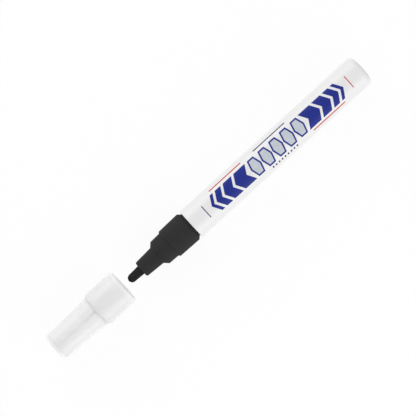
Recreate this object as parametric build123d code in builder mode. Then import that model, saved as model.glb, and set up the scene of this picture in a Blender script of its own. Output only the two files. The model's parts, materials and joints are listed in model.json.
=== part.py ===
from build123d import *
from math import cos, pi, sin, sqrt
import os

# A paint marker lying on its side with its cap pulled off, in millimetres.
# Its axis is X: the flat of the tail is at X = 0 and the nib points towards +X.
# Z is up. Every piece is turned about the axis, apart from the ball and the coil;
# only the slots of the cage and the groove of the cap are cut into a turned shape.

# Barrel: a thin aluminium can, closed at the tail and rolled in over the nose at the front
barrel_length = 98.3
barrel_diameter = 14.5
barrel_wall = 0.45
tail_thickness = 0.9
tail_edge_radius = 2.2
lip_edge_radius = 0.4
lip_clearance = 0.15

# Nose, outside: plug, neck, collar, step, shoulder and snout
plug_length = 12.0
plug_clearance = 0.25
barb_clearance = 0.04
barb_length = 1.4
barb_inset = 1.2
neck_length = 0.45
neck_depth = 1.2
collar_length = 11.8
collar_setback = 0.05
collar_lead = 1.2
collar_draft = 0.2
collar_edge_radius = 0.45
step_slope = 0.72
step_length = 4.93
step_draft = 0.15
shoulder_length = 1.85
shoulder_edge_radius = 0.5
snout_length = 9.0
snout_wall = 1.6
snout_draft = 0.49
snout_edge_radius = 0.75
snout_root_radius = 0.7

# Seal ring in the plug's groove
seal_section = 1.0
seal_clearance = 0.04
seal_side_room = 0.15

# Nib: a fibre rod with a domed tip
nib_length = 23.9
nib_diameter = 4.4
nib_tip_diameter = 3.9
nib_out = 7.15
nib_chamfer = 0.3
nib_clearance = 0.06
nib_guide_length = 5.0
nib_channel = 0.9
nib_travel = 1.6
paint_ledge = 0.9

# Valve behind the nib: seat, stem, coil spring and cage
plug_wall = 0.6
valve_bore_depth = 17.0
seat_thickness = 1.5
seat_chamfer = 0.3
seat_lap = 0.8
stem_diameter = 2.4
stem_flow_gap = 0.7
poppet_thickness = 1.2
poppet_chamfer = 0.25
pusher_lap = 0.5
pusher_thickness = 1.0
stem_tail_room = 0.2
stem_clearance = 0.08
cage_clearance = 0.04
cage_wall = 0.8
cage_floor = 1.5
cage_inset = 1.2
cage_spoke_width = 1.4
cage_spokes = 3
spring_wire = 0.5
spring_room = 0.6
spring_seat_gap = 0.05
spring_turns = 6

# Ball that stirs the paint when the pen is shaken
ball_diameter = 6.0
ball_gap = 0.1
ball_station = 24.0

# Cap: a wide skirt that slides over the nose, and a narrower tapered end
cap_gap = 3.1
mouth_overlap = 1.3
mouth_edge_radius = 0.1
mouth_round_length = 1.5
mouth_round_depth = 0.58
skirt_wall = 0.75
skirt_clearance = 0.15
skirt_shoulder_wall = 1.4
skirt_shoulder_slope = 0.95
skirt_edge_radius = 0.6
skirt_root_radius = 0.5
bead_clearance = 0.05
bead_length = 1.0
stop_gap = 0.2
cap_wall = 0.6
cap_flare = 0.32
cap_flare_length = 7.0
cap_nose_clearance = 0.2
cap_end_thickness = 0.8
cap_end_radius = 0.85
gate_radius = 0.8
gate_depth = 0.12
groove_width = 0.45
groove_depth = 0.2
groove_inset = 2.3

# Inner cap: a soft cup in the end of the cap that closes over the snout
nib_headroom = 0.7
inner_cap_floor = 0.5
inner_cap_wall = 0.7
inner_cap_clearance = 0.2
inner_cap_fit = 0.05
inner_cap_flange = 0.51
inner_cap_base_length = 2.5
inner_cap_seat_gap = 0.6
inner_cap_lead = 0.3

# Every cut runs past the face it opens by this much
overrun = 0.5
# Two places count as the same within this distance
same_place = 0.001

# Radii, worked out from the barrel and the nib outwards
barrel_radius = barrel_diameter / 2
bore_radius = barrel_radius - barrel_wall
plug_radius = bore_radius - plug_clearance
barb_radius = bore_radius - barb_clearance
seal_radius = bore_radius - seal_clearance - seal_section / 2
seal_groove_radius = seal_radius - seal_section / 2 - seal_clearance
valve_bore_radius = seal_groove_radius - plug_wall
neck_radius = barrel_radius - neck_depth
lip_radius = neck_radius + lip_clearance
collar_radius = barrel_radius - collar_setback
collar_front_radius = collar_radius - collar_draft
step_radius = collar_front_radius - step_slope
step_front_radius = step_radius - step_draft
nib_radius = nib_diameter / 2
nib_tip_radius = nib_tip_diameter / 2
nib_bore_radius = nib_radius + nib_clearance
nib_chamber_radius = nib_radius + nib_channel
snout_front_radius = nib_radius + snout_wall
snout_back_radius = snout_front_radius + snout_draft
stem_radius = stem_diameter / 2
seat_hole_radius = stem_radius + stem_flow_gap
poppet_radius = seat_hole_radius + seat_lap
pusher_radius = stem_radius + pusher_lap
paint_radius = valve_bore_radius - paint_ledge
seat_radius = valve_bore_radius - cage_clearance
cage_radius = valve_bore_radius - cage_clearance
cage_bore_radius = cage_radius - cage_wall
spring_radius = stem_radius + spring_room + spring_wire / 2
ball_radius = ball_diameter / 2
skirt_bore_radius = barrel_radius + skirt_clearance
skirt_radius = skirt_bore_radius + skirt_wall
bead_radius = collar_radius + bead_clearance
cap_bore_radius = step_radius + cap_nose_clearance
cap_radius = cap_bore_radius + cap_wall
inner_cap_bore_radius = snout_back_radius + inner_cap_clearance
inner_cap_radius = inner_cap_bore_radius + inner_cap_wall
inner_cap_base_radius = inner_cap_radius + inner_cap_flange
cap_end_bore_radius = inner_cap_base_radius + inner_cap_fit
cap_end_outer_radius = cap_end_bore_radius + cap_wall
cap_taper = cap_radius - cap_end_outer_radius
cap_shoulder_radius = cap_radius + cap_flare
mouth_rim_radius = skirt_radius - mouth_round_depth

# Stations along the axis, from the tail to the nib
plug_back = barrel_length - plug_length
plug_front = barrel_length - barrel_wall
collar_back = barrel_length + neck_length
collar_shoulder = collar_back + collar_lead
collar_front = collar_back + collar_length
step_back = collar_front + step_slope
step_front = step_back + step_length
snout_back = step_front + shoulder_length
snout_face = snout_back + snout_length
nib_tip = snout_face + nib_out
nib_back = nib_tip - nib_length
seal_station = (plug_back + plug_front) / 2
seat_ledge = plug_back + valve_bore_depth
seat_back = seat_ledge - seat_thickness
poppet_back = seat_back - poppet_thickness
cage_back = plug_back + cage_inset
cage_seat = cage_back + cage_floor
stem_tail = plug_back + stem_tail_room + nib_travel

# Stations of the cap: where it seats on the nose, and how far it is pulled off
seated_mouth = barrel_length - mouth_overlap
cap_mouth = nib_tip + cap_gap
pull = cap_mouth - seated_mouth
bead_station = (barrel_length + collar_shoulder) / 2 + pull
# The slope inside the cap stops against the slope in front of the collar: both fall at 45 degrees
stop_line = collar_front + collar_front_radius + stop_gap + pull
cap_slope_back = stop_line - skirt_bore_radius
cap_slope_front = stop_line - cap_bore_radius
cap_shoulder = cap_slope_front + skirt_shoulder_wall
skirt_end = cap_shoulder - skirt_shoulder_slope
inner_cap_mouth = snout_back + inner_cap_seat_gap + pull
inner_cap_inside = nib_tip + nib_headroom + pull
cap_inside = inner_cap_inside + inner_cap_floor
cap_end = cap_inside + cap_end_thickness


def ring(part, station, radius):
    """The circular edge of a turned piece at a station along the axis, with this radius."""
    return part.edges().filter_by(GeomType.CIRCLE).filter_by(
        lambda edge: abs(edge.arc_center.X - station) < same_place and abs(edge.radius - radius) < same_place
    )


def barb(station):
    """Three points of a barb on the plug: a long ramp that ends in a square step."""
    return [
        (station, plug_radius),
        (station + barb_length, barb_radius),
        (station + barb_length, plug_radius),
    ]


# Barrel
with BuildPart() as barrel:
    with BuildSketch() as barrel_section:
        with BuildLine():
            Polyline(
                (0, 0),
                (0, barrel_radius),
                (barrel_length, barrel_radius),
                (barrel_length, lip_radius),
                (plug_front, lip_radius),
                (plug_front, bore_radius),
                (tail_thickness, bore_radius),
                (tail_thickness, 0),
                close=True,
            )
        make_face()
    revolve(axis=Axis.X)
    fillet(ring(barrel, 0, barrel_radius), radius=tail_edge_radius)
    fillet(ring(barrel, tail_thickness, bore_radius), radius=tail_edge_radius - barrel_wall)
    fillet(ring(barrel, barrel_length, barrel_radius), radius=lip_edge_radius)

# Nose: the plug in the barrel, then the stepped black front down to the snout
seal_groove_half = seal_section / 2 + seal_side_room
front_barb = plug_front - barb_inset - barb_length
with BuildPart() as nose:
    with BuildSketch() as nose_section:
        with BuildLine():
            Polyline(
                (plug_back, 0),
                (plug_back, plug_radius),
                *barb(plug_back + barb_inset),
                (seal_station - seal_groove_half, plug_radius),
                (seal_station - seal_groove_half, seal_groove_radius),
                (seal_station + seal_groove_half, seal_groove_radius),
                (seal_station + seal_groove_half, plug_radius),
                *barb(front_barb),
                (plug_front, plug_radius),
                (plug_front, neck_radius),
                (collar_back, neck_radius),
                (collar_shoulder, collar_radius),
                (collar_front, collar_front_radius),
                (step_back, step_radius),
                (step_front, step_front_radius),
                (snout_back, snout_back_radius),
                (snout_face, snout_front_radius),
                (snout_face, 0),
                close=True,
            )
        make_face()
    revolve(axis=Axis.X)
    fillet(ring(nose, collar_shoulder, collar_radius), radius=collar_edge_radius)
    fillet(ring(nose, collar_front, collar_front_radius), radius=collar_edge_radius)
    fillet(ring(nose, step_front, step_front_radius), radius=shoulder_edge_radius)
    fillet(ring(nose, snout_back, snout_back_radius), radius=snout_root_radius)
    fillet(ring(nose, snout_face, snout_front_radius), radius=snout_edge_radius)
    with BuildSketch() as nose_bore:
        with BuildLine():
            guide_back = snout_face - nib_guide_length
            guide_slope = nib_chamber_radius - nib_bore_radius
            paint_slope = paint_radius - nib_chamber_radius
            Polyline(
                (plug_back - overrun, 0),
                (plug_back - overrun, valve_bore_radius),
                (seat_ledge, valve_bore_radius),
                (seat_ledge, paint_radius),
                (step_front, paint_radius),
                (step_front + paint_slope, nib_chamber_radius),
                (guide_back - guide_slope, nib_chamber_radius),
                (guide_back, nib_bore_radius),
                (snout_face + overrun, nib_bore_radius),
                (snout_face + overrun, 0),
                close=True,
            )
        make_face()
    revolve(axis=Axis.X, mode=Mode.SUBTRACT)

# Seal ring between the plug and the barrel
with BuildPart() as nose_seal_ring:
    with BuildSketch() as seal_profile:
        with Locations((seal_station, seal_radius)):
            Circle(seal_section / 2)
    revolve(axis=Axis.X)

# Valve seat: a flat elastic washer against the ledge in the nose
with BuildPart() as valve_seat:
    with BuildSketch() as seat_section:
        with BuildLine():
            Polyline(
                (seat_back, seat_hole_radius),
                (seat_back, seat_radius),
                (seat_ledge, seat_radius),
                (seat_ledge, seat_hole_radius),
                close=True,
            )
        make_face()
    revolve(axis=Axis.X)
    chamfer(ring(valve_seat, seat_ledge, seat_hole_radius), length=seat_chamfer)

# Valve stem: the nib pushes on its front, the poppet closes on the back of the seat
with BuildPart() as valve_stem:
    with BuildSketch() as stem_section:
        with BuildLine():
            Polyline(
                (stem_tail, 0),
                (stem_tail, stem_radius),
                (poppet_back, stem_radius),
                (poppet_back, poppet_radius),
                (seat_back, poppet_radius),
                (seat_back, stem_radius),
                (nib_back - pusher_thickness, stem_radius),
                (nib_back - pusher_thickness, pusher_radius),
                (nib_back, pusher_radius),
                (nib_back, 0),
                close=True,
            )
        make_face()
    revolve(axis=Axis.X)
    chamfer(ring(valve_stem, poppet_back, poppet_radius), length=poppet_chamfer)
    chamfer(ring(valve_stem, stem_tail, stem_radius), length=poppet_chamfer)

# Valve cage: a cup pressed into the nose behind the seat, with a spoked floor for the paint
with BuildPart() as valve_cage:
    with BuildSketch() as cage_section:
        with BuildLine():
            Polyline(
                (cage_back, stem_radius + stem_clearance),
                (cage_back, cage_radius),
                (seat_back, cage_radius),
                (seat_back, cage_bore_radius),
                (cage_seat, cage_bore_radius),
                (cage_seat, stem_radius + stem_clearance),
                close=True,
            )
        make_face()
    revolve(axis=Axis.X)
    with BuildSketch(Plane.YZ.offset(cage_back - overrun)) as flow_slots:
        Circle(cage_bore_radius)
        Circle(spring_radius + spring_wire, mode=Mode.SUBTRACT)
        with PolarLocations(0, cage_spokes, start_angle=90):
            Rectangle(
                cage_radius, cage_spoke_width, align=(Align.MIN, Align.CENTER), mode=Mode.SUBTRACT
            )
    extrude(amount=cage_floor + 2 * overrun, mode=Mode.SUBTRACT)

# Valve spring: one wire wound from the cage's floor to the poppet
spring_start = cage_seat + spring_seat_gap + spring_wire / 2
spring_end = poppet_back - spring_seat_gap - spring_wire / 2
spring_pitch = (spring_end - spring_start) / spring_turns
quarters_per_turn = 4


def spring_point(turn):
    """A point on the middle of the spring's wire, after this many turns."""
    angle = 2 * pi * turn
    return Vector(
        spring_start + spring_pitch * turn, spring_radius * cos(angle), spring_radius * sin(angle)
    )


def spring_direction(turn):
    """The way the wire runs there."""
    angle = 2 * pi * turn
    around = 2 * pi * spring_radius
    return Vector(spring_pitch, -around * sin(angle), around * cos(angle)).normalized()


def biarc(start, end):
    """Two tangent arcs that follow the wire from one turn count to another."""
    first = spring_point(start)
    last = spring_point(end)
    leave = spring_direction(start)
    arrive = spring_direction(end)
    across = last - first
    both = leave + arrive
    spread = 4 - both.dot(both)
    lean = across.dot(both)
    reach = (sqrt(lean * lean + spread * across.dot(across)) - lean) / spread
    bend_in = first + leave * reach
    bend_out = last - arrive * reach
    middle = (bend_in + bend_out) / 2
    TangentArc(first, middle, tangent=leave)
    TangentArc(middle, last, tangent=bend_out - bend_in)


with BuildPart() as valve_spring:
    with BuildLine() as spring_path:
        for quarter in range(spring_turns * quarters_per_turn):
            biarc(quarter / quarters_per_turn, (quarter + 1) / quarters_per_turn)
    with BuildSketch(Plane(origin=spring_point(0), z_dir=spring_direction(0))) as wire_section:
        Circle(spring_wire / 2)
    sweep(path=spring_path.line)

points_per_turn = 48
spring_points = [spring_point(step / points_per_turn) for step in range(spring_turns * points_per_turn + 1)]
spring_gap = min(
    (spring_points[late] - spring_points[early]).length - spring_wire
    for early in range(len(spring_points))
    for late in range(early + points_per_turn // 2, len(spring_points))
)
print(f"valve_spring: least gap of the wire to itself {spring_gap:.2f} mm")

# Nib: a fibre rod that slides in the snout, ground to a taper and a dome outside it
with BuildPart() as nib:
    with BuildSketch() as nib_section:
        with BuildLine():
            dome_start = nib_tip - nib_tip_radius
            Polyline(
                (nib_tip, 0),
                (nib_back, 0),
                (nib_back, nib_radius - nib_chamfer),
                (nib_back + nib_chamfer, nib_radius),
                (snout_face, nib_radius),
                (dome_start, nib_tip_radius),
            )
            TangentArc((dome_start, nib_tip_radius), (nib_tip, 0), tangent=(1, 0))
        make_face()
    revolve(axis=Axis.X)

# Stirring ball, lying on the lower side of the bore
ball_height = ball_radius + ball_gap - bore_radius
with BuildPart() as mixing_ball:
    with Locations((ball_station, 0, ball_height)):
        Sphere(ball_radius)

# Cap, pulled off ahead of the nib. Its end tapers at one rate, and flares a little more at the shoulder.
# A shallow dimple in the middle of the closed end is where the plastic came into the mould
cap_fall = cap_taper / (cap_end - cap_shoulder)
with BuildPart() as cap:
    with BuildSketch() as cap_section:
        with BuildLine():
            bead_half = bead_length / 2
            mouth_round_end = cap_mouth + mouth_round_length
            TangentArc((mouth_round_end, skirt_radius), (cap_mouth, mouth_rim_radius), tangent=(-1, 0))
            Polyline(
                (cap_mouth, mouth_rim_radius),
                (cap_mouth, skirt_bore_radius),
                (bead_station - bead_half, skirt_bore_radius),
            )
            Polyline(
                (mouth_round_end, skirt_radius),
                (skirt_end, skirt_radius),
                (cap_shoulder, cap_shoulder_radius),
                (cap_shoulder + cap_flare_length, cap_radius - cap_fall * cap_flare_length),
                (cap_end, cap_end_outer_radius),
                (cap_end, gate_radius),
                (cap_end - gate_depth, gate_radius),
                (cap_end - gate_depth, 0),
                (cap_inside, 0),
                (cap_inside, cap_end_bore_radius),
                (cap_slope_front, cap_bore_radius),
                (cap_slope_back, skirt_bore_radius),
                (bead_station + bead_half, skirt_bore_radius),
            )
            ThreePointArc(
                (bead_station + bead_half, skirt_bore_radius),
                (bead_station, bead_radius),
                (bead_station - bead_half, skirt_bore_radius),
            )
        make_face()
    revolve(axis=Axis.X)
    fillet(ring(cap, cap_mouth, skirt_bore_radius), radius=mouth_edge_radius)
    fillet(ring(cap, skirt_end, skirt_radius), radius=skirt_edge_radius)
    fillet(ring(cap, cap_shoulder, cap_shoulder_radius), radius=skirt_root_radius)
    fillet(ring(cap, cap_end, cap_end_outer_radius), radius=cap_end_radius)
    # Fine groove along the top of the tapered end, from the shoulder towards the closed end
    groove_end = cap_end - groove_inset
    groove_fall = cap_fall * (groove_end - cap_shoulder)
    with BuildSketch(Plane.XZ) as groove_section:
        with BuildLine():
            Polyline(
                (cap_shoulder, cap_radius - groove_depth),
                (groove_end, cap_radius - groove_fall - groove_depth),
                (groove_end, cap_shoulder_radius + overrun),
                (cap_shoulder, cap_shoulder_radius + overrun),
                close=True,
            )
        make_face()
    extrude(amount=groove_width / 2, both=True, mode=Mode.SUBTRACT)

# Inner cap, pressed into the closed end
with BuildPart() as inner_cap:
    with BuildSketch() as inner_cap_section:
        with BuildLine():
            base_back = cap_inside - inner_cap_base_length
            Polyline(
                (inner_cap_mouth, inner_cap_bore_radius),
                (inner_cap_mouth, inner_cap_radius),
                (base_back, inner_cap_radius),
                (base_back, inner_cap_base_radius),
                (cap_inside, inner_cap_base_radius),
                (cap_inside, 0),
                (inner_cap_inside, 0),
                (inner_cap_inside, inner_cap_bore_radius),
                close=True,
            )
        make_face()
    revolve(axis=Axis.X)
    chamfer(ring(inner_cap, inner_cap_mouth, inner_cap_bore_radius), length=inner_cap_lead)

pieces = {
    "barrel": barrel,
    "nose": nose,
    "nose_seal_ring": nose_seal_ring,
    "valve_seat": valve_seat,
    "valve_stem": valve_stem,
    "valve_spring": valve_spring,
    "valve_cage": valve_cage,
    "nib": nib,
    "mixing_ball": mixing_ball,
    "cap": cap,
    "inner_cap": inner_cap,
}
os.makedirs("parts", exist_ok=True)
for name, piece in pieces.items():
    piece.part.label = name
    export_step(piece.part, f"parts/{name}.step")

ball_back = tail_thickness + ball_radius + ball_gap
ball_front = plug_back - ball_radius - ball_gap
print(f"cap: mouth at {cap_mouth:.2f}, end at {cap_end:.2f}, seats after {pull:.2f} mm")
print(f"mixing_ball: rolls from {ball_back:.2f} to {ball_front:.2f}, at rest {ball_station:.2f}")
print(f"nib: tip at {nib_tip:.2f}, presses in {nib_travel:.2f} mm")
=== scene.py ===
# %% [markdown]
# A paint marker lies on a pale floor with its cap pulled off. The working model,
# with its barrel, nose, nib, valve and cap, comes in ready made and in its real
# size. This lesson dresses it: it sets the camera and the light, gives every
# surface its finish, and models by hand what the working model can't show, which is
# the felt of the nib, a coil spring and the ink printed on the barrel.

import json
import math

import bmesh
import bpy
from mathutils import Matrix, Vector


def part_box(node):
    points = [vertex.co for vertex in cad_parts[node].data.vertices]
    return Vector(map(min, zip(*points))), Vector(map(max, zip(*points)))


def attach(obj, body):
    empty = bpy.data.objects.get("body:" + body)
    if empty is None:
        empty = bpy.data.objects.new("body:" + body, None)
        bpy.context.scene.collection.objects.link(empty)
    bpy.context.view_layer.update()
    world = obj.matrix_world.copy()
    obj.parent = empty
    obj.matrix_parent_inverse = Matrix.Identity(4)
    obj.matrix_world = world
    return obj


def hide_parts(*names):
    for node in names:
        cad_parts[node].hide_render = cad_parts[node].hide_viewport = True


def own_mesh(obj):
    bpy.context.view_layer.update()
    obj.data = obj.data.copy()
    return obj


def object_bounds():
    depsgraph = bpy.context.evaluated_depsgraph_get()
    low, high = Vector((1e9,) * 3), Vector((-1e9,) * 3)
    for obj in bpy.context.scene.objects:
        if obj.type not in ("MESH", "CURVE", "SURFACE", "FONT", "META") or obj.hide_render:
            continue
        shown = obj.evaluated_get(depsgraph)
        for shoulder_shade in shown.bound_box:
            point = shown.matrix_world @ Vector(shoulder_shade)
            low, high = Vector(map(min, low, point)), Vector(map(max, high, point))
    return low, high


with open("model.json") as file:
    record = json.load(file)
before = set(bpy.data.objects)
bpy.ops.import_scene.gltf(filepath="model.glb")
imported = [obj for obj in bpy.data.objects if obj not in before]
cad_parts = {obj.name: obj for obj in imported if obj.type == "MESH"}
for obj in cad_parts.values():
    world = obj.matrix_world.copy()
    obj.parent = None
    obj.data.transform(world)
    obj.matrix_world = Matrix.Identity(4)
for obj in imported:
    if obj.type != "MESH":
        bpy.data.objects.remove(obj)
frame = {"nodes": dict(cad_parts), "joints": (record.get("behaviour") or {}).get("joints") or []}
nodes = frame["nodes"]
cad_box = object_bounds()
mm = 0.001
barrel_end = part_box("barrel")[1]
barrel_front = barrel_end.x
barrel_radius = barrel_end.y
print("model:", len(nodes), "nodes, barrel", round(barrel_front / mm, 1), "mm long")

# %% [markdown]
# The camera looks straight down. The marker runs from the upper right corner to
# the lower left one, so the camera is turned about its own line of sight rather
# than moved round. A parallel view would do almost as well, but a long lens from
# well above is closer to a real picture: it keeps the barrel's sides parallel and
# still shows the two ends a little from the side. The focal length is worked out in
# pixels of a square picture and then changed to the millimetres that Blender asks
# for.

# %% Camera
picture_side = 416
focal_pixels = 1700
sensor_width = 36
camera_height = 725 * mm
camera_setback = 10.03 * mm
camera_aside = -0.27 * mm
camera_turn = math.radians(137.63)
camera_station = barrel_front - camera_setback
camera_data = bpy.data.cameras.new("camera")
camera_data.sensor_width = sensor_width
camera_data.lens = focal_pixels * sensor_width / picture_side
camera = bpy.data.objects.new("camera", camera_data)
camera.location = (camera_station, camera_aside, camera_height)
camera.rotation_euler = (0, 0, camera_turn)
bpy.context.scene.collection.objects.link(camera)
bpy.context.scene.camera = camera
print(f"camera: lens {camera_data.lens:.1f} mm, {camera_height / mm:.0f} mm above the axis")

# %% [markdown]
# Node trees are easier to read as sums than as boxes and wires. This class holds
# one output socket, and Python's own operators add the Math nodes. Everything
# else, such as a noise texture or a colour mix, comes from one method that takes
# the node's type, its settings and its inputs.


# %% Sockets as numbers
class Socket:
    """An output in a node tree. Arithmetic on it adds Math nodes."""

    def __init__(self, tree, output):
        self.tree = tree
        self.output = output

    def node(self, kind, settings=None, inputs=None, output=0):
        """Add a node: its settings first, then its inputs, which are numbers or sockets."""
        node = self.tree.nodes.new(kind)
        for name, value in (settings or {}).items():
            setattr(node, name, value)
        for name, value in (inputs or {}).items():
            if isinstance(value, Socket):
                self.tree.links.new(value.output, node.inputs[name])
            else:
                node.inputs[name].default_value = value
        return Socket(self.tree, node.outputs[output])

    def maths(self, operation, first, second=0.0):
        """Add a Math node on two numbers or sockets."""
        return self.node("ShaderNodeMath", {"operation": operation}, {0: first, 1: second})

    def __add__(self, other):
        return self.maths("ADD", self, other)

    def __radd__(self, other):
        return self.maths("ADD", other, self)

    def __sub__(self, other):
        return self.maths("SUBTRACT", self, other)

    def __rsub__(self, other):
        return self.maths("SUBTRACT", other, self)

    def __mul__(self, other):
        return self.maths("MULTIPLY", self, other)

    def __rmul__(self, other):
        return self.maths("MULTIPLY", other, self)

    def __gt__(self, other):
        return self.maths("GREATER_THAN", self, other)

    def __lt__(self, other):
        return self.maths("LESS_THAN", self, other)

    def __abs__(self):
        return self.maths("ABSOLUTE", self)

    def or_more(self, other):
        """The larger of two values."""
        return self.maths("MAXIMUM", self, other)

    def into(self, node, name):
        """Link this output to an input of a node."""
        self.tree.links.new(self.output, node.inputs[name])


# %% [markdown]
# The floor is a wide pale sheet at the height of the lowest point of the cap. It
# has to look white, and still show a soft shadow under the pen. More light would
# whiten it too, but would burn out the white barrel. So the rays that come from the
# camera, from a gloss or through clear plastic see mostly an even white, with a
# share of the lit sheet left in for the shadow, while the light that bounces back
# to the pen comes from the plain sheet.

# %% Floor
floor_side = 6.0
floor_white = 0.92
shadow_share = 0.08
bpy.ops.object.select_all(action="DESELECT")
bpy.ops.mesh.primitive_plane_add(size=floor_side, location=(camera_station, 0, cad_box[0].z))
floor = bpy.context.object
floor.name = "floor"


def seen_rays(tree):
    """1 for the rays that show a background: from the camera, from gloss and through clear plastic."""
    path = tree.nodes.new("ShaderNodeLightPath")
    camera_ray = Socket(tree, path.outputs["Is Camera Ray"])
    glossy_ray = Socket(tree, path.outputs["Is Glossy Ray"])
    passing_ray = Socket(tree, path.outputs["Is Transmission Ray"])
    return camera_ray.or_more(glossy_ray).or_more(passing_ray)


def floor_paper():
    material = bpy.data.materials.new("floor_paper")
    material.use_nodes = True
    tree = material.node_tree
    tree.nodes.clear()
    seen = seen_rays(tree)
    pale = (floor_white, floor_white, floor_white, 1)
    sheet = seen.node("ShaderNodeBsdfDiffuse", None, {"Color": pale})
    white = seen.node("ShaderNodeEmission", None, {"Color": (1, 1, 1, 1), "Strength": 1.0})
    both = seen.node("ShaderNodeMixShader", None, {0: seen * (1 - shadow_share), 1: sheet, 2: white})
    both.into(tree.nodes.new("ShaderNodeOutputMaterial"), "Surface")
    return material


floor.data.materials.append(floor_paper())
print("floor", round(cad_box[0].z / mm, 2), "mm from the axis")

# %% [markdown]
# The room round the pen is an even white. A brighter room would burn the pale
# pieces out, so only the rays that show the background see it at full white, and
# the light that it gives is a little weaker.

# %% Room
sky_level = 0.77
world = bpy.data.worlds.new("studio")
bpy.context.scene.world = world
world.use_nodes = True
sky = world.node_tree
sky.nodes.clear()
seen = seen_rays(sky)
room = seen.node("ShaderNodeBackground", None, {"Color": (1, 1, 1, 1), "Strength": sky_level})
white = seen.node("ShaderNodeBackground", None, {"Color": (1, 1, 1, 1), "Strength": 1.0})
lit = seen.node("ShaderNodeMixShader", None, {0: seen, 1: room, 2: white})
lit.into(sky.nodes.new("ShaderNodeOutputWorld"), "Surface")
bpy.context.scene.view_settings.view_transform = "Standard"
print("room light", sky_level)

# %% [markdown]
# White things are often lit by two wide soft boxes, one on each side of the barrel,
# so that the flanks are brighter than the middle and the round shape shows. A sun
# or a spot would draw a hard line of light along the barrel instead. The boxes are
# large and far enough away for the shadow to melt into the floor.

# %% Lamps
box_side = 0.5
box_distance = 0.6
box_height = 0.25
box_power = {"left_box": 1.65, "right_box": 1.75}
for side, (name, power) in zip((-1, 1), box_power.items()):
    lamp_data = bpy.data.lights.new(name, "AREA")
    lamp_data.shape = "SQUARE"
    lamp_data.size = box_side
    lamp_data.energy = power
    lamp = bpy.data.objects.new(name, lamp_data)
    lamp.location = (camera_station, side * box_distance, box_height)
    lamp.rotation_euler = (-side * math.atan2(box_distance, box_height), 0, 0)
    bpy.context.scene.collection.objects.link(lamp)
print("lamps:", ", ".join(box_power))

# %% [markdown]
# Every finish starts in the same way: a material, its shader, and the place on the
# piece in metres, on which all patterns are built. An image could carry a finish
# too, but would have to be wrapped round each piece. A pattern that is laid out in
# the piece's own space has the same grain on a long piece as on a short one, and it
# stays put when the piece moves.


# %% Helpers for finishes
def new_finish(name):
    """A material with its shader, and the place on the piece as a socket to build patterns on."""
    material = bpy.data.materials.new(name)
    material.use_nodes = True
    tree = material.node_tree
    shader = tree.nodes["Principled BSDF"]
    place = Socket(tree, tree.nodes.new("ShaderNodeTexCoord").outputs["Object"])
    return material, shader, place


def dress(material, *names):
    """Put a finish on pieces of the working model."""
    for name in names:
        nodes[name].data.materials.clear()
        nodes[name].data.materials.append(material)
    print(material.name, "on", ", ".join(names))


def noise(place, size, detail=3.0, stretch=(1, 1, 1)):
    """Grains of about this size in metres, wider along an axis by its stretch."""
    scale = tuple(1 / (size * wide) for wide in stretch)
    grid = place.node("ShaderNodeMapping", None, {"Vector": place, "Scale": scale})
    return place.node("ShaderNodeTexNoise", None, {"Vector": grid, "Scale": 1.0, "Detail": detail})


def bump(height, depth):
    """A bump of this depth in metres, ready for a shader's Normal."""
    return height.node("ShaderNodeBump", None, {"Height": height, "Distance": depth, "Strength": 1.0})


def blend(factor, first, second):
    """A colour between two colours."""
    return factor.node("ShaderNodeMix", {"data_type": "RGBA"}, {0: factor, 6: first, 7: second}, 2)


def grey(level, warm=0.0):
    """A grey of this level, with a little more red and less blue where it is warm."""
    return (level * (1 + warm), level, level * (1 - warm), 1)


# %% [markdown]
# Some finishes change from one stretch of a piece to the next. Painted vertex
# colours could mark such places, but would be no finer than the mesh. So two helpers
# say where a point is on the marker, which is turned about the X axis, and two more
# make a soft step or a soft line of it.


# %% Places on a turned piece
def along(place, axis):
    """How far a point is along X, Y or Z."""
    return place.node("ShaderNodeSeparateXYZ", None, {0: place}, axis)


def from_axis(place):
    """How far a point is from the marker's axis."""
    across = place.node("ShaderNodeVectorMath", {"operation": "MULTIPLY"}, {0: place, 1: (0, 1, 1)})
    return place.node("ShaderNodeVectorMath", {"operation": "LENGTH"}, {0: across}, "Value")


def rise(value, start, end):
    """0 up to a start, rising to 1 at an end."""
    return value.node("ShaderNodeMapRange", None, {"Value": value, 1: start, 2: end})


def line_at(value, middle, half_width):
    """1 where a value is at the middle, falling to 0 at half a width to either side."""
    off = abs(value - middle)
    return off.node("ShaderNodeMapRange", None, {"Value": off, 2: half_width, 3: 1.0, 4: 0.0})


# %% [markdown]
# The barrel is a drawn aluminium can with white lacquer baked on the outside. The
# lacquer is satin rather than glossy: it flows into a faint orange peel before it
# hardens, and handling leaves hairlines along the barrel that only show in the
# gloss. The inside stays bare metal. Two materials would need the mesh to be split,
# so one material asks where a point is: inside the wall, past the floor of the tail
# and clear of the rounded corner between them, it is metal. On the rounded edge of
# the tail a grey line of painted shade is drawn, stronger in some places than in
# others.

# %% White lacquer over aluminium
barrel_wall = 0.45 * mm
tail_wall = 0.9 * mm
wall_margin = 0.02 * mm
corner_cut = 1.85 * mm
tail_flat_radius = 5.2 * mm
tail_shade_middle = 0.15 * mm
tail_shade_half = 0.55 * mm


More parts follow.
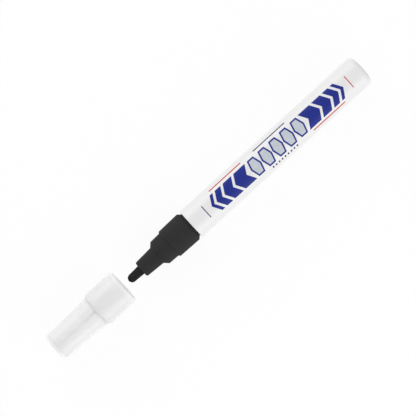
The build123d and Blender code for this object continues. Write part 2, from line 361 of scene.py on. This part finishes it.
def white_lacquer():
    material, shader, place = new_finish("white_lacquer")
    cloud = noise(place, 9 * mm)
    patch = noise(place, 2.5 * mm)
    smear = noise(place, 3 * mm)
    orange_peel = noise(place, 0.7 * mm, 1.0)
    peel_depth = 0.006 * mm
    hairline = noise(place, 0.25 * mm, 1.0, (60, 1, 1)) > 0.68
    station = along(place, "X")
    radius = from_axis(place)
    inside_wall = radius < barrel_radius - barrel_wall + wall_margin
    past_floor = station > tail_wall - wall_margin
    off_corner = station - radius > corner_cut - barrel_radius
    bare = inside_wall * past_floor * off_corner
    # Painted shade: a grey line on the rounded edge of the tail, stronger in some places.
    tail_shade = line_at(station, tail_shade_middle, tail_shade_half) * (radius > tail_flat_radius)
    lacquer = blend((0.25 + 0.6 * patch) * tail_shade, blend(cloud, grey(0.735), grey(0.76)), grey(0.42))
    blend(bare, lacquer, grey(0.80)).into(shader, "Base Color")
    bare.into(shader, "Metallic")
    (0.30 + 0.10 * smear + 0.06 * hairline).into(shader, "Roughness")
    bump(orange_peel, peel_depth).into(shader, "Normal")
    return material


dress(white_lacquer(), "barrel")

# %% [markdown]
# The nose is moulded from black plastic in a tool with a fine spark texture, which
# makes it dull: it shows no highlight, only a slightly lighter flank. Modelled, such
# a grain would take millions of faces, so it is a bump: a grain of a sixth of a
# millimetre, with a slow cloud over it where the melt has flowed.


# %% Black plastic
def black_plastic():
    material, shader, place = new_finish("black_plastic")
    cloud = noise(place, 2 * mm)
    grain = noise(place, 0.16 * mm, 2.0)
    grain_depth = 0.016 * mm
    blend(0.5 * cloud + 0.5 * grain, grey(0.017), grey(0.030)).into(shader, "Base Color")
    (0.62 + 0.30 * grain).into(shader, "Roughness")
    shader.inputs["Specular IOR Level"].default_value = 0.15
    bump(grain, grain_depth).into(shader, "Normal")
    return material


dress(black_plastic(), "nose")

# %% [markdown]
# The cap is frosted plastic. Its wide skirt slides over the nose, and a groove runs
# along the top of its narrower end. Before it gets its finish, the places where the
# finish changes are measured. The skirt ends at the last point of the mesh that is
# about as far from the axis as the skirt's outside.

# %% Places on the cap
shoulder_drop = 0.7 * mm
groove_inset = 2.3 * mm
cap_mouth, cap_end = (shoulder_shade.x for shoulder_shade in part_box("cap"))
skirt_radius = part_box("cap")[1].y
skirt_end = max(
    vert.co.x for vert in nodes["cap"].data.vertices if vert.co.yz.length > skirt_radius - shoulder_drop
)
groove_end = cap_end - groove_inset
print("cap: shoulder at", round(skirt_end / mm, 2), "mm, groove to", round(groove_end / mm, 2), "mm")

# %% [markdown]
# Frosted plastic could be a glass with a rough skin, but glass goes dark where
# several walls lie one behind the other, and a thin frosted wall stays pale. So the
# wall is a white skin that lets a part of what lies behind it through, which is what
# Alpha does, and only a little glass is mixed in. The colour carries painted light:
# painted shade makes the skirt, where one wall alone lies before the floor, greyer
# than the narrow end, which is backed by the inner cap, and a painted highlight makes
# the rounded rim at the mouth whiter again. Painted shade also draws a grey line at
# the shoulder that fades down the narrow end, and one along the bottom of the groove,
# darkest where the two meet.

# %% Whites of the cap, with painted shade and a painted highlight
groove_shade_half = 0.4 * mm
shoulder_shade_offset = 0.2 * mm
shoulder_shade_half = 1.1 * mm
shoulder_fade_length = 8 * mm
rim_highlight_inset = 0.7 * mm
rim_highlight_half = 0.9 * mm


def frosted_colour_with_painted_light(place):
    """White plastic, with painted shade on the skirt, at the shoulder and along the groove, and a
    painted highlight at the rim.
    """
    station = along(place, "X")
    past_skirt = station > skirt_end
    # Painted shade along the bottom of the groove, darkest where it meets the shoulder.
    groove_shade = line_at(along(place, "Y"), 0.0, groove_shade_half) * (along(place, "Z") > 0.0)
    groove_shade = groove_shade * past_skirt * (station < groove_end)
    # Painted shade: a grey line at the shoulder, fading down the narrow end.
    shoulder_shade = line_at(station, skirt_end + shoulder_shade_offset, shoulder_shade_half)
    shoulder_shade_fade = line_at(station, skirt_end, shoulder_fade_length) * past_skirt
    # Painted highlight on the rounded rim at the mouth.
    rim_highlight = line_at(station, cap_mouth + rim_highlight_inset, rim_highlight_half)
    # Painted shade: the skirt is greyer, except at the rim.
    skirt_shade = (station < skirt_end) * (1 - 0.9 * rim_highlight)
    cloud = noise(place, 6 * mm)
    white = blend(skirt_shade, blend(cloud, grey(0.965), grey(0.985)), grey(0.885))
    # All the painted shade, mixed towards grey.
    painted_shade = 0.45 * shoulder_shade.or_more(0.4 * shoulder_shade_fade) + 0.07 * groove_shade + 0.3 * shoulder_shade * groove_shade
    return blend(painted_shade, white, grey(0.60))


# %% [markdown]
# The closed end of the cap is thick and lets less through. Alpha could be the same
# all over, but then the end would look as thin as the skirt, so it rises towards the
# end. The skin of the cap is matt from a fine grain.

# %% Frosted cap
end_start = 1.6 * mm
end_full = 0.6 * mm


def frosted_plastic():
    material, shader, place = new_finish("frosted_plastic")
    skin = noise(place, 0.25 * mm, 2.0)
    skin_depth = 0.008 * mm
    frosted_colour_with_painted_light(place).into(shader, "Base Color")
    (0.20 + 0.08 * noise(place, 1.2 * mm)).into(shader, "Roughness")
    thick = rise(along(place, "X"), cap_end - end_start, cap_end - end_full)
    (0.6 + 0.35 * thick).into(shader, "Alpha")
    shader.inputs["Transmission Weight"].default_value = 0.1
    shader.inputs["IOR"].default_value = 1.45
    bump(skin, skin_depth).into(shader, "Normal")
    return material


dress(frosted_plastic(), "cap")

# %% [markdown]
# Inside the cap sits a softer inner cap that keeps the nib from drying. It is milky
# and lets less light through, which is why the cap looks whiter from its shoulder
# on. The same kind of skin does it, with a higher Alpha that is even all over.


# %% Milky inner cap
def milky_plastic():
    material, shader, place = new_finish("milky_plastic")
    cloud = noise(place, 4 * mm)
    skin = noise(place, 0.3 * mm, 2.0)
    skin_depth = 0.003 * mm
    blend(cloud, grey(0.93), grey(0.96)).into(shader, "Base Color")
    (0.45 + 0.1 * noise(place, 0.8 * mm)).into(shader, "Roughness")
    shader.inputs["Alpha"].default_value = 0.8
    bump(skin, skin_depth).into(shader, "Normal")
    return material


dress(milky_plastic(), "inner_cap")

# %% [markdown]
# The valve is out of sight, but it comes apart on the bench, so each of its pieces
# has a finish too. The seal ring and the seat are matt black rubber, a little dusty,
# and the stem and the cage are natural white plastic, a little warm. A plain colour
# would make such small pieces look like drawings, and one fine noise for each is
# enough to avoid that.


# %% Rubber and valve plastic
def valve_rubber():
    material, shader, place = new_finish("valve_rubber")
    dust = noise(place, 0.4 * mm, 4.0)
    dust_depth = 0.006 * mm
    blend(dust, grey(0.03), grey(0.055)).into(shader, "Base Color")
    (0.75 + 0.2 * dust).into(shader, "Roughness")
    bump(dust, dust_depth).into(shader, "Normal")
    return material


def valve_plastic():
    material, shader, place = new_finish("valve_plastic")
    cloud = noise(place, 1.5 * mm)
    skin = noise(place, 0.2 * mm, 2.0)
    skin_depth = 0.003 * mm
    blend(cloud, grey(0.80, 0.02), grey(0.86, 0.03)).into(shader, "Base Color")
    (0.40 + 0.15 * noise(place, 0.3 * mm)).into(shader, "Roughness")
    bump(skin, skin_depth).into(shader, "Normal")
    return material


dress(valve_rubber(), "nose_seal_ring", "valve_seat")
dress(valve_plastic(), "valve_stem", "valve_cage")

# %% [markdown]
# A steel ball stirs the paint when the pen is shaken. It was polished once, and has
# been scratched by the wall of the barrel since. Hundreds of scratches would be slow
# to draw one by one, so they are the peaks of a noise that is stretched along two
# axes.


# %% Ball steel
def ball_steel():
    material, shader, place = new_finish("ball_steel")
    scratch = noise(place, 0.08 * mm, 2.0, (1, 9, 3)) > 0.62
    scratch_depth = 0.001 * mm
    blend(scratch, grey(0.62), grey(0.52)).into(shader, "Base Color")
    shader.inputs["Metallic"].default_value = 1.0
    (0.12 + 0.22 * scratch + 0.06 * noise(place, 0.7 * mm)).into(shader, "Roughness")
    bump(scratch, scratch_depth).into(shader, "Normal")
    return material


dress(ball_steel(), "mixing_ball")

# %% [markdown]
# Now the modelling. All of it is done as by hand: a shape is added, taken into edit
# mode, changed by the usual tools and finished by modifiers. Three small helpers
# save repetition. One selects what a tool shall work on, by its place. One applies a
# modifier with its settings. The last says what carries a finished piece.


# %% Helpers for modelling
def pick(piece, kind, chosen):
    """In edit mode, select those of the piece's verts, edges or faces that chosen() says yes to."""
    mesh = bmesh.from_edit_mesh(piece.data)
    bpy.ops.mesh.select_mode(type={"verts": "VERT", "edges": "EDGE", "faces": "FACE"}[kind])
    bpy.ops.mesh.select_all(action="DESELECT")
    for part in getattr(mesh, kind):
        part.select_set(chosen(part))
    mesh.select_flush_mode()
    bmesh.update_edit_mesh(piece.data)


def modify(piece, kind, **settings):
    """Add a modifier with these settings and apply it."""
    modifier = piece.modifiers.new(kind.lower(), kind)
    for name, value in settings.items():
        setattr(modifier, name, value)
    bpy.context.view_layer.objects.active = piece
    bpy.ops.object.modifier_apply(modifier=modifier.name)


def ready(piece, body, material):
    """Name the body that carries a finished piece and its finish."""
    piece.data.materials.clear()
    piece.data.materials.append(material)
    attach(piece, body)
    print(piece.name, "has", len(piece.data.polygons), "faces")


# %% [markdown]
# The nib is a stick of pressed fibre. Its end is rounded, and up close the surface
# is not smooth but felted. A turned shape is best made from its outline, and the
# outline is already there: a copy of the working nib, cut lengthwise, leaves a
# single line from the back to the tip.

# %% Outline of the nib
merge_gap = 0.001 * mm
bpy.ops.object.select_all(action="DESELECT")
nib = bpy.data.objects.new("nib_felt", nodes["nib"].data.copy())
bpy.context.scene.collection.objects.link(nib)
bpy.context.view_layer.objects.active = nib
nib.select_set(True)
bpy.ops.mesh.customdata_custom_splitnormals_clear()
bpy.ops.object.mode_set(mode="EDIT")
bpy.ops.mesh.select_all(action="SELECT")
bpy.ops.mesh.remove_doubles(threshold=merge_gap)
bpy.ops.mesh.bisect(
    plane_co=(0, 0, 0), plane_no=(0, 0, 1), clear_inner=True, clear_outer=True, threshold=merge_gap
)
bpy.ops.mesh.select_all(action="SELECT")
bpy.ops.mesh.bisect(plane_co=(0, 0, 0), plane_no=(0, 1, 0), clear_inner=True, threshold=merge_gap)
print("outline of the nib:", len(bmesh.from_edit_mesh(nib.data).verts), "points")

# %% [markdown]
# The cut left long stretches between the points of the outline. The part of it that
# shows is divided until the net will be about as long as it is wide, and the stretch
# inside the nose stays as it is. The finished net could be divided instead, but a
# single line has far fewer edges to choose from.

# %% Divide the outline
nib_steps = 120
cut_rounds = (2, 1, 1)
snout_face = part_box("nose")[1].x
net_width = 2 * math.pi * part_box("nib")[1].y / nib_steps
longest_edge = 1.5 * net_width


def shows_and_is_long(edge):
    """Says yes to the long edges in front of the snout."""
    middle = (edge.verts[0].co.x + edge.verts[1].co.x) / 2
    return middle > snout_face and edge.calc_length() > longest_edge


for cuts in cut_rounds:
    pick(nib, "edges", shows_and_is_long)
    bpy.ops.mesh.subdivide(number_cuts=cuts)
print("outline of the nib:", len(bmesh.from_edit_mesh(nib.data).verts), "points after the cuts")

# %% [markdown]
# Spun round the axis with many steps, the outline becomes an even net, fine enough
# for a modifier to press the felt into it. The felt could be sculpted, but a cloud
# texture gives the same felt on every run. It only goes inwards, so the nib still
# slides in its hole.

# %% Spin and felt
felt_grain = 0.30 * mm
felt_depth = 0.07 * mm
felt_layers = 4
bpy.ops.mesh.select_all(action="SELECT")
bpy.ops.mesh.spin(steps=nib_steps, angle=2 * math.pi, center=(0, 0, 0), axis=(1, 0, 0))
bpy.ops.mesh.select_all(action="SELECT")
bpy.ops.mesh.remove_doubles(threshold=merge_gap)
bpy.ops.mesh.normals_make_consistent(inside=False)
bpy.ops.object.mode_set(mode="OBJECT")
bpy.ops.object.shade_smooth()
felt = bpy.data.textures.new("felt", "CLOUDS")
felt.noise_scale = felt_grain
felt.noise_depth = felt_layers
modify(nib, "DISPLACE", texture=felt, strength=felt_depth, mid_level=1.0)
print("nib: net about", round(net_width / mm, 2), "mm wide")

# %% [markdown]
# The fibres run lengthwise and are soaked with black paint, which leaves hardly any
# gloss. A noise that is stretched along the nib gives the strands, and the same
# noise is used for their colour, their dullness and their height, so that the three
# belong together.


# %% Soaked fibre
def soaked_fibre():
    material, shader, place = new_finish("soaked_fibre")
    strands = noise(place, 0.12 * mm, 3.0, (14, 1, 1))
    strand_depth = 0.05 * mm
    blend(strands, grey(0.002), grey(0.026)).into(shader, "Base Color")
    (0.70 + 0.25 * strands).into(shader, "Roughness")
    shader.inputs["Specular IOR Level"].default_value = 0.12
    bump(strands, strand_depth).into(shader, "Normal")
    return material


ready(nib, "nib", soaked_fibre())
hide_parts("nib")

# %% [markdown]
# Behind the seat a small coil spring pushes the stem and the nib forward. A curve
# with a round bevel could be wound into a coil, but the Screw modifier does it in
# one step: it carries a circle, the section of the wire, round the axis and along it
# at once.

# %% Spring
wire = 0.5 * mm
wire_sides = 16
spring_turns = 6
turn_steps = 40
spring_low, spring_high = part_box("valve_spring")
spring_pitch = (spring_high.x - spring_low.x - wire) / spring_turns
bpy.ops.object.select_all(action="DESELECT")
bpy.ops.mesh.primitive_circle_add(
    vertices=wire_sides,
    radius=wire / 2,
    location=(spring_low.x + wire / 2, spring_high.y - wire / 2, 0),
)
spring = bpy.context.object
spring.name = "spring_coil"
bpy.ops.object.transform_apply(location=True, rotation=True, scale=True)
modify(
    spring,
    "SCREW",
    axis="X",
    iterations=spring_turns,
    screw_offset=spring_pitch,
    steps=turn_steps,
    render_steps=turn_steps,
)
print("spring:", spring_turns, "turns,", round(spring_pitch / mm, 2), "mm apart")

# %% [markdown]
# The modifier leaves a tube that is open at both ends, where the real wire is cut
# off square. The holes are filled, and the faces turned outwards. Smooth shading
# makes the wire round without more sides, and stops at the sharp edge of each cut.

# %% Ends of the wire
wire_edge_angle = math.radians(40)
bpy.ops.object.mode_set(mode="EDIT")
bpy.ops.mesh.select_all(action="SELECT")
bpy.ops.mesh.remove_doubles(threshold=merge_gap)
bpy.ops.mesh.fill_holes(sides=0)
bpy.ops.mesh.select_all(action="SELECT")
bpy.ops.mesh.normals_make_consistent(inside=False)
bpy.ops.object.mode_set(mode="OBJECT")
bpy.ops.object.shade_smooth_by_angle(angle=wire_edge_angle)
print("wire:", round(wire / mm, 2), "mm thick, closed at both ends")

# %% [markdown]
# The wire is drawn steel, with fine marks that the drawing die left on it. When the
# nib is pressed in, the spring gets shorter by the nib's travel. It can't ride on
# two bodies, so it stays with the marker, and the travel is worked out from the joint.


# %% Spring steel and its travel
def spring_steel():
    material, shader, place = new_finish("spring_steel")
    drawn = noise(place, 0.05 * mm, 2.0, (1, 5, 5))
    drawn_depth = 0.002 * mm
    blend(drawn, grey(0.50), grey(0.62)).into(shader, "Base Color")
    shader.inputs["Metallic"].default_value = 1.0
    (0.22 + 0.2 * drawn).into(shader, "Roughness")
    bump(drawn, drawn_depth).into(shader, "Normal")
    return material


ready(spring, "marker", spring_steel())
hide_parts("valve_spring")
press = next(joint for joint in frame["joints"] if joint["name"] == "nib_press")
press_travel = press["range_m"][1]
spring_seat = press["deforming_nodes"][0]["fixed_end_x_m"]
spring_rest = spring_high.x - spring_seat
1 - press_travel / spring_rest
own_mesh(spring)
print("spring: presses together by", round(press_travel / mm, 2), "mm")

# %% [markdown]
# The barrel is printed in four inks, each of which is one pass of the press: a pale
# grey, a strong blue, a red and a dark violet. The print could be part of the
# lacquer's colour, but a film of ink is a thin thing lying on the lacquer, with an
# edge of its own, so it is modelled as one. Each shape starts as a flat plane held
# above the barrel, and its ends are drawn out to points by moving the vertices in
# the middle. A plane that is left square is a bar.

# %% Flat shapes for the print
print_lift = 1 * mm
print_level = barrel_radius + print_lift
dot_sides = 24


def ink_tile(back, front, side, half_height, back_point=0.0, front_point=0.0):
    """A flat tile over the barrel. Its ends can be drawn out, or in, to points."""
    bpy.ops.object.select_all(action="DESELECT")
    bpy.ops.mesh.primitive_plane_add(size=1, location=((back + front) / 2, side, print_level))
    tile = bpy.context.object
    tile.scale = (front - back, 2 * half_height, 1)
    bpy.ops.object.transform_apply(location=True, rotation=True, scale=True)
    bpy.ops.object.mode_set(mode="EDIT")
    bpy.ops.mesh.bisect(plane_co=(0, side, 0), plane_no=(0, 1, 0), threshold=merge_gap)
    for end, point in ((back, back_point), (front, front_point)):
        middle = (end, side)
        pick(tile, "verts", lambda vert: math.dist(vert.co.xy, middle) < merge_gap)
        bpy.ops.transform.translate(value=(point, 0, 0))
    bpy.ops.object.mode_set(mode="OBJECT")
    return tile


def cut_to_frame(tile, border):
    """Leave only a border of a tile."""
    bpy.context.view_layer.objects.active = tile
    bpy.ops.object.mode_set(mode="EDIT")
    bpy.ops.mesh.select_mode(type="FACE")
    bpy.ops.mesh.select_all(action="SELECT")
    bpy.ops.mesh.inset(thickness=border, use_boundary=True)
    bpy.ops.mesh.delete(type="FACE")
    bpy.ops.object.mode_set(mode="OBJECT")
    return tile


def ink_dot(station, side, radius):
    """A round dot over the barrel."""
    bpy.ops.object.select_all(action="DESELECT")
    bpy.ops.mesh.primitive_circle_add(
        vertices=dot_sides, radius=radius, fill_type="NGON", location=(station, side, print_level)
    )
    bpy.ops.object.transform_apply(location=True, rotation=True, scale=True)
    return bpy.context.object


# %% [markdown]
# Printing ink is duller than the lacquer and never quite even: the press leaves fine
# pinholes, through which a little white shows, and a slow mottle. One function makes
# all four inks from their colours.


# %% Printing ink
def printing_ink(name, colour):
    material, shader, place = new_finish(name)
    mottle = noise(place, 1.6 * mm)
    pinhole = noise(place, 0.2 * mm, 1.0) > 0.74
    skin = noise(place, 0.12 * mm, 2.0)
    skin_depth = 0.002 * mm
    deep = (*(0.8 * level for level in colour), 1)
    blend(0.1 * pinhole, blend(mottle, deep, (*colour, 1)), grey(0.75)).into(shader, "Base Color")
    (0.36 + 0.14 * mottle).into(shader, "Roughness")
    shader.inputs["Specular IOR Level"].default_value = 0.15
    bump(skin, skin_depth).into(shader, "Normal")
    return material


# %% [markdown]
# Joined and cut into narrow strips, the flat shapes can bend. Shrinkwrap drops them
# straight down on a smooth form of the barrel's size, which is removed again at the
# end, and Solidify gives the ink its thickness, outwards from the lacquer.

# %% Films of ink
strip = 0.4 * mm
strips = math.ceil(barrel_radius / strip)
form_sides = 360
film_edge_angle = math.radians(30)
bpy.ops.object.select_all(action="DESELECT")
bpy.ops.mesh.primitive_cylinder_add(
    vertices=form_sides,
    radius=barrel_radius,
    depth=barrel_front,
    location=(barrel_front / 2, 0, 0),
    rotation=(0, math.pi / 2, 0),
)
form = bpy.context.object
print("form: strips of", round(strip / mm, 2), "mm,", form_sides, "sides")


def ink_film(name, tiles, thickness, colour):
    """Join flat shapes into one film of ink and lay it on the barrel."""
    bpy.ops.object.select_all(action="DESELECT")
    for tile in tiles:
        tile.select_set(True)
    bpy.context.view_layer.objects.active = tiles[0]
    bpy.ops.object.join()
    film = bpy.context.object
    film.name = name
    bpy.ops.object.mode_set(mode="EDIT")
    for row in range(-strips, strips + 1):
        bpy.ops.mesh.select_all(action="SELECT")
        bpy.ops.mesh.bisect(plane_co=(0, row * strip, 0), plane_no=(0, 1, 0), threshold=merge_gap)
    bpy.ops.object.mode_set(mode="OBJECT")
    modify(
        film,
        "SHRINKWRAP",
        target=form,
        wrap_method="PROJECT",
        use_project_z=True,
        use_negative_direction=True,
        use_positive_direction=False,
    )
    modify(film, "SOLIDIFY", thickness=thickness, offset=1.0)
    bpy.ops.object.shade_smooth_by_angle(angle=film_edge_angle)
    ready(film, "marker", printing_ink(name, colour))


# %% [markdown]
# The design is plain and looks alike from both ends. In the middle of the barrel
# stands a row of tall lozenges, pale with a blue border. Each is drawn twice, once
# filled for the pale ink and once as a frame for the blue, which overlaps the pale
# ink so that no white shows between.

# %% Lozenges
row_middle = barrel_front / 2
row_side = 0.4 * mm
row_height = 4.1 * mm
lozenge_count = 5
lozenge_pitch = 6.1 * mm
lozenge_half = 1.7 * mm
lozenge_point = 1.15 * mm
lozenge_border = 0.7 * mm
pale_film = 0.02 * mm
pale_ink = (0.57, 0.61, 0.67)
pale_tiles = []
blue_tiles = []
for count in range(lozenge_count):
    middle = row_middle + (count - (lozenge_count - 1) / 2) * lozenge_pitch
    back = middle - lozenge_half
    front = middle + lozenge_half
    lozenge = (back, front, row_side, row_height, -lozenge_point, lozenge_point)
    pale_tiles.append(ink_tile(*lozenge))
    blue_tiles.append(cut_to_frame(ink_tile(*lozenge), lozenge_border))
ink_film("print_pale", pale_tiles, pale_film, pale_ink)

# %% [markdown]
# From the lozenges, chevrons run out to the nib and to the tail, and get thinner on
# the way. A chevron is a tile with both ends drawn the same way, so one loop makes
# them all, once for each end of the barrel.

# %% Chevrons
chevron_lengths = [6.4 * mm, 4.8 * mm, 3.2 * mm, 1.6 * mm]
chevron_gap = 1.3 * mm
chevron_point = 2.4 * mm
blue_film = 0.035 * mm
blue_ink = (0.014, 0.028, 0.25)
lozenge_reach = (lozenge_count - 1) / 2 * lozenge_pitch + lozenge_half
for way in (-1, 1):
    reach = lozenge_reach
    for length in chevron_lengths:
        inner = row_middle + way * (reach + chevron_gap)
        outer = inner + way * length
        back, front = sorted((inner, outer))
        point = way * chevron_point
        blue_tiles.append(ink_tile(back, front, row_side, row_height, point, point))
        reach += chevron_gap + length
ink_film("print_blue", blue_tiles, blue_film, blue_ink)
chevron_reach = lozenge_reach + sum(chevron_gap + length for length in chevron_lengths)
print("print:", round(2 * chevron_reach / mm, 1), "mm long")

# %% [markdown]
# The hairlines are bars less than half a millimetre wide. A red one runs along each
# row of chevrons, on opposite sides, and a third across the barrel near its tail.

# %% Red hairlines
hair = 0.2 * mm
upper_side = -5.2 * mm
lower_side = 5.6 * mm
line_reach = 9 * mm
across_inset = 8.4 * mm
across_height = 3.1 * mm
line_film = 0.03 * mm
red_ink = (0.60, 0.045, 0.035)
line_middle = (chevron_reach + lozenge_pitch * lozenge_count / 2) / 2
red_tiles = [ink_tile(across_inset - hair, across_inset + hair, row_side, across_height)]
for way, side in ((1, upper_side), (-1, lower_side)):
    middle = row_middle + way * line_middle
    red_tiles.append(ink_tile(middle - line_reach, middle + line_reach, side, hair))
ink_film("print_red", red_tiles, line_film, red_ink)

# %% [markdown]
# The dark ink comes last: a hairline along the lozenges, another across the front of
# the barrel, and a row of dots on the other side of the lozenges. The form has then
# done its work and is taken away.

# %% Dark hairlines and dots
dot_count = 9
dot_pitch = 1.7 * mm
dot_radius = 0.4 * mm
dark_ink = (0.06, 0.045, 0.15)
across_front = barrel_front - across_inset
dark_tiles = [
    ink_tile(row_middle - line_reach, row_middle + line_reach, upper_side, hair),
    ink_tile(across_front - hair, across_front + hair, row_side, across_height),
]
for count in range(dot_count):
    station = row_middle + (count - (dot_count - 1) / 2) * dot_pitch
    dark_tiles.append(ink_dot(station, lower_side, dot_radius))
ink_film("print_dark", dark_tiles, line_film, dark_ink)
bpy.data.objects.remove(form)

# %% [markdown]

# %% End
print("done")
